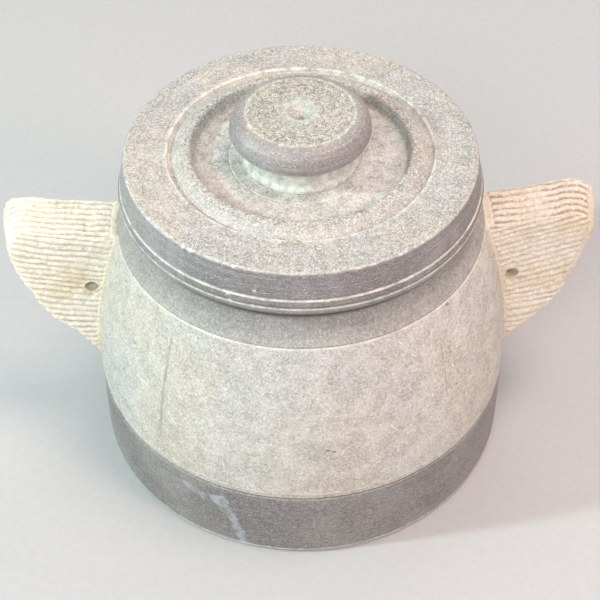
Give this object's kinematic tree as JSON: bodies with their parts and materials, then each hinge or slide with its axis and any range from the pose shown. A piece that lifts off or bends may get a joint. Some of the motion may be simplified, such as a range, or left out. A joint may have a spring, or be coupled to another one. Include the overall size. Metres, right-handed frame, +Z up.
{
  "type": "stone pot",
  "caption": "Lathe-turned soapstone pot with a lift-off lid, a mushroom knob and tooled wing handles, for keeping stones or food hot.",
  "frame": {"origin": "centre of the pot's flat base, in the middle of the bounding box", "axes": "+X through the right-hand handle, -Y towards the front, +Z up along the axis the pot and lid are turned on"},
  "size_m": [0.1867, 0.1348, 0.1239],
  "materials": {
    "pot_stone": "honed soapstone, polished on the neck and base bands",
    "lid_stone": "honed soapstone, polished on the side",
    "knob_stone": "polished soapstone with a rough top",
    "handle_stone": "tooled, unpolished",
    "iron": "raw"
  },
  "bodies": {
    "pot": {"pot_body": "pot_stone", "handle_left": "handle_stone", "handle_right": "handle_stone", "handle_pin_left_upper": "iron", "handle_pin_left_lower": "iron", "handle_pin_right_upper": "iron", "handle_pin_right_lower": "iron"},
    "lid": {"lid": "lid_stone", "knob": "knob_stone", "knob_pin": "iron"}
  },
  "joints": [
    {"name": "lid_lift", "type": "slide", "parent": "pot", "child": "lid", "axis": [0, 0, 1], "range_m": [0, 0.06]}
  ]
}
